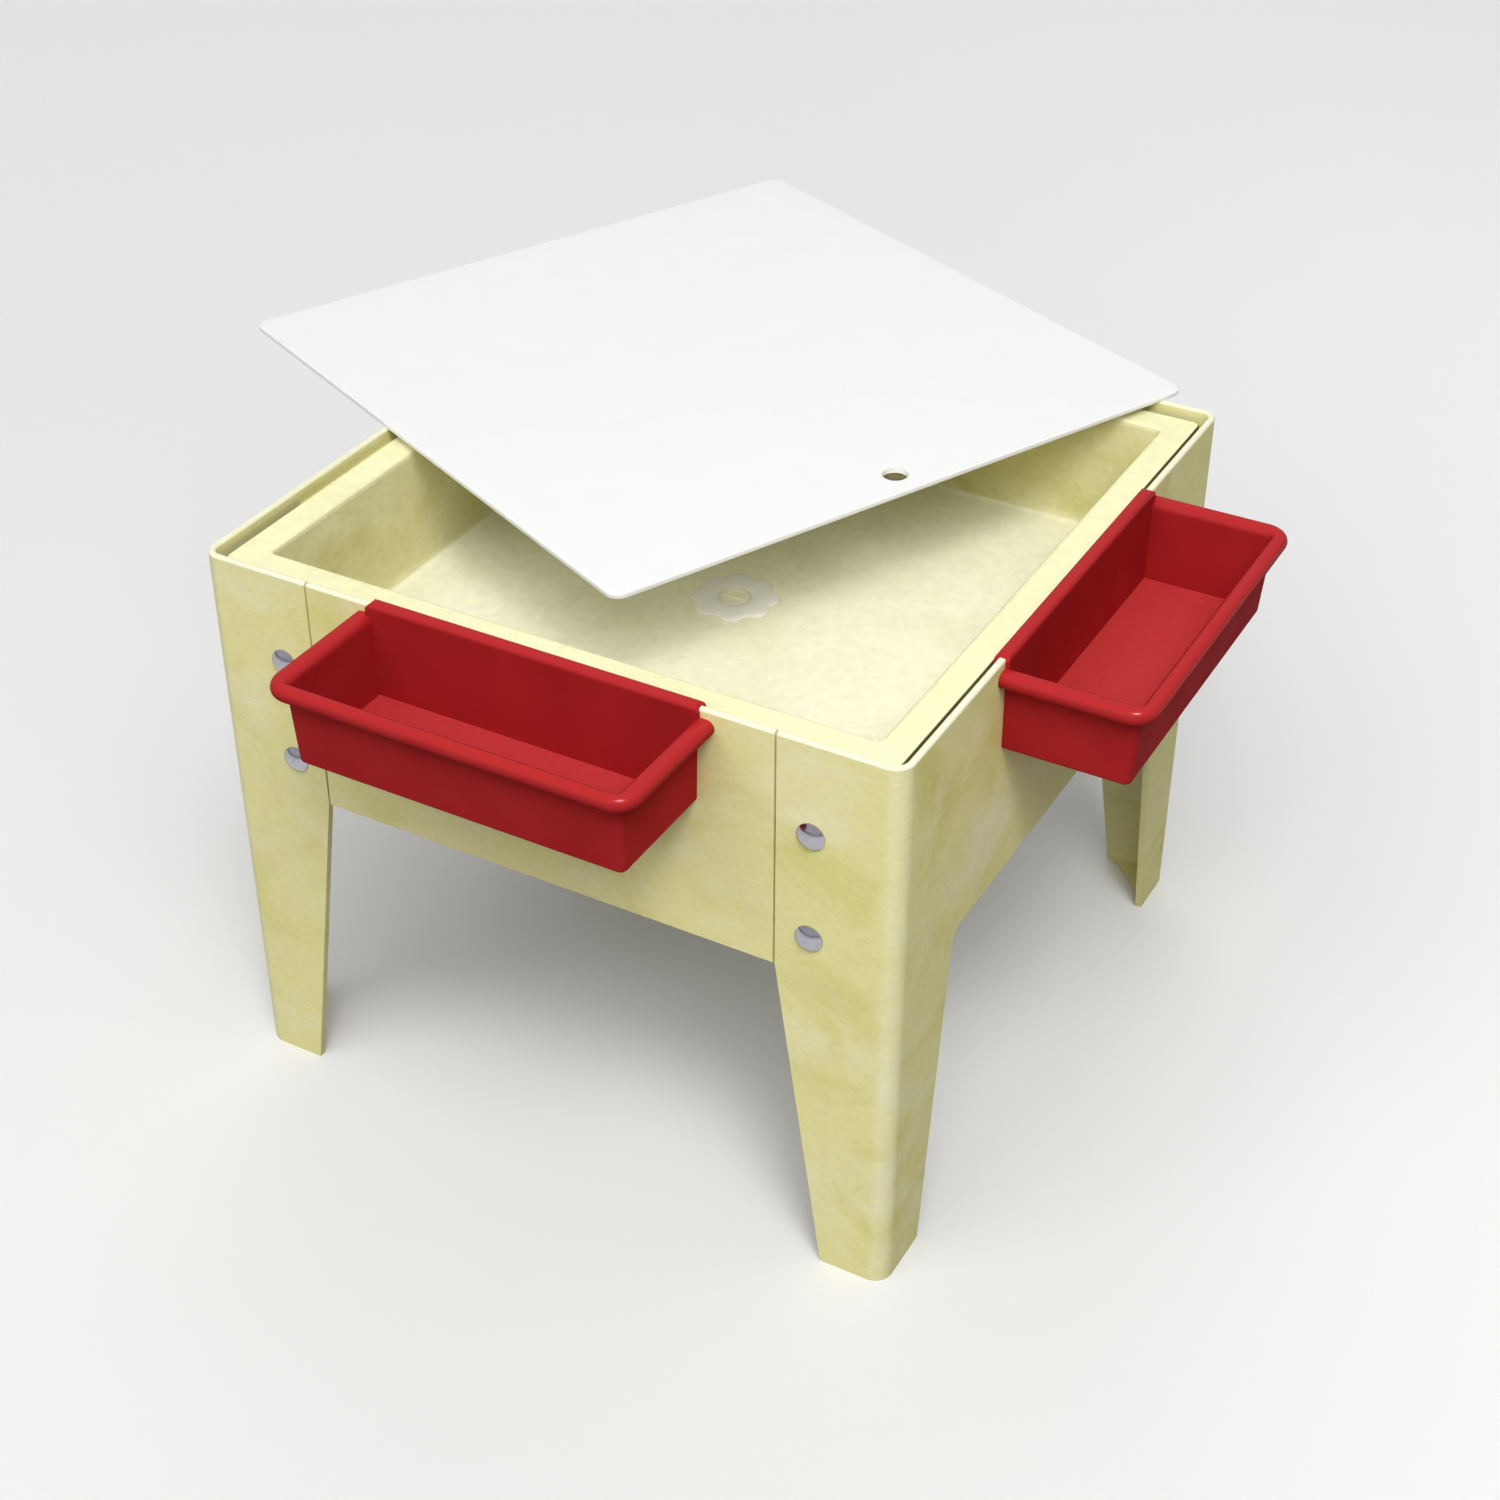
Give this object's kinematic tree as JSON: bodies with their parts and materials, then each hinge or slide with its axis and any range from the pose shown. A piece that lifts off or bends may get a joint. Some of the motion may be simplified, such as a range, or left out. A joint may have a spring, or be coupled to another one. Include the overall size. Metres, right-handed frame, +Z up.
{
  "type": "children's play table with storage trays",
  "caption": "Low square play table for toddlers: moulded frame on tapered legs, drop-in basin with a drain, loose lid with a finger hole, and open storage trays hooked over the rim.",
  "frame": {"origin": "middle of the table's footprint, on the floor the four feet stand on", "axes": "+X to the right along the front face, +Y from the front to the back, +Z up; the bolted faces are front and back, the one-piece legged sides are left and right"},
  "size_m": [0.8629, 0.9105, 0.461],
  "materials": {
    "frame_plastic": "satin moulded polyethylene, softly mottled cream and yellow",
    "basin_plastic": "satin moulded polyethylene, softly mottled cream and yellow",
    "lid_plastic": "smooth white sheet, satin",
    "tray_plastic": "semi-gloss red moulded plastic",
    "drain_plastic": "pale grey moulded plastic",
    "plug_plastic": "cream moulded plastic",
    "gasket_rubber": "black rubber",
    "bolt_steel": "polished zinc-plated steel",
    "zinc_steel": "zinc-plated steel"
  },
  "bodies": {
    "frame": {"end_frame_left": "frame_plastic", "end_frame_right": "frame_plastic", "front_panel": "frame_plastic", "back_panel": "frame_plastic", "bolts_front_left": "bolt_steel", "bolts_front_right": "bolt_steel", "bolts_back_left": "bolt_steel", "bolts_back_right": "bolt_steel", "washers_front_left": "zinc_steel", "washers_front_right": "zinc_steel", "washers_back_left": "zinc_steel", "washers_back_right": "zinc_steel", "nuts_front_left": "zinc_steel", "nuts_front_right": "zinc_steel", "nuts_back_left": "zinc_steel", "nuts_back_right": "zinc_steel"},
    "basin": {"basin": "basin_plastic", "drain_fitting": "drain_plastic", "drain_gasket": "gasket_rubber", "drain_nut": "drain_plastic"},
    "drain_plug": {"drain_plug": "plug_plastic"},
    "lid": {"lid": "lid_plastic"},
    "front_tray": {"front_tray": "tray_plastic"},
    "side_tray": {"side_tray": "tray_plastic"}
  },
  "joints": [
    {"name": "basin_lift", "type": "slide", "parent": "frame", "child": "basin", "axis": [0, 0, 1], "range_m": [0, 0.16]},
    {"name": "lid_lift", "type": "slide", "parent": "basin", "child": "lid", "axis": [0, 0, 1], "range_m": [0, 0.15]},
    {"name": "plug_lift", "type": "slide", "parent": "basin", "child": "drain_plug", "axis": [0, 0, 1], "range_m": [0, 0.05]},
    {"name": "front_tray_lift", "type": "slide", "parent": "frame", "child": "front_tray", "axis": [0, 0, 1], "range_m": [0, 0.12]},
    {"name": "side_tray_lift", "type": "slide", "parent": "frame", "child": "side_tray", "axis": [0, 0, 1], "range_m": [0, 0.12]}
  ]
}
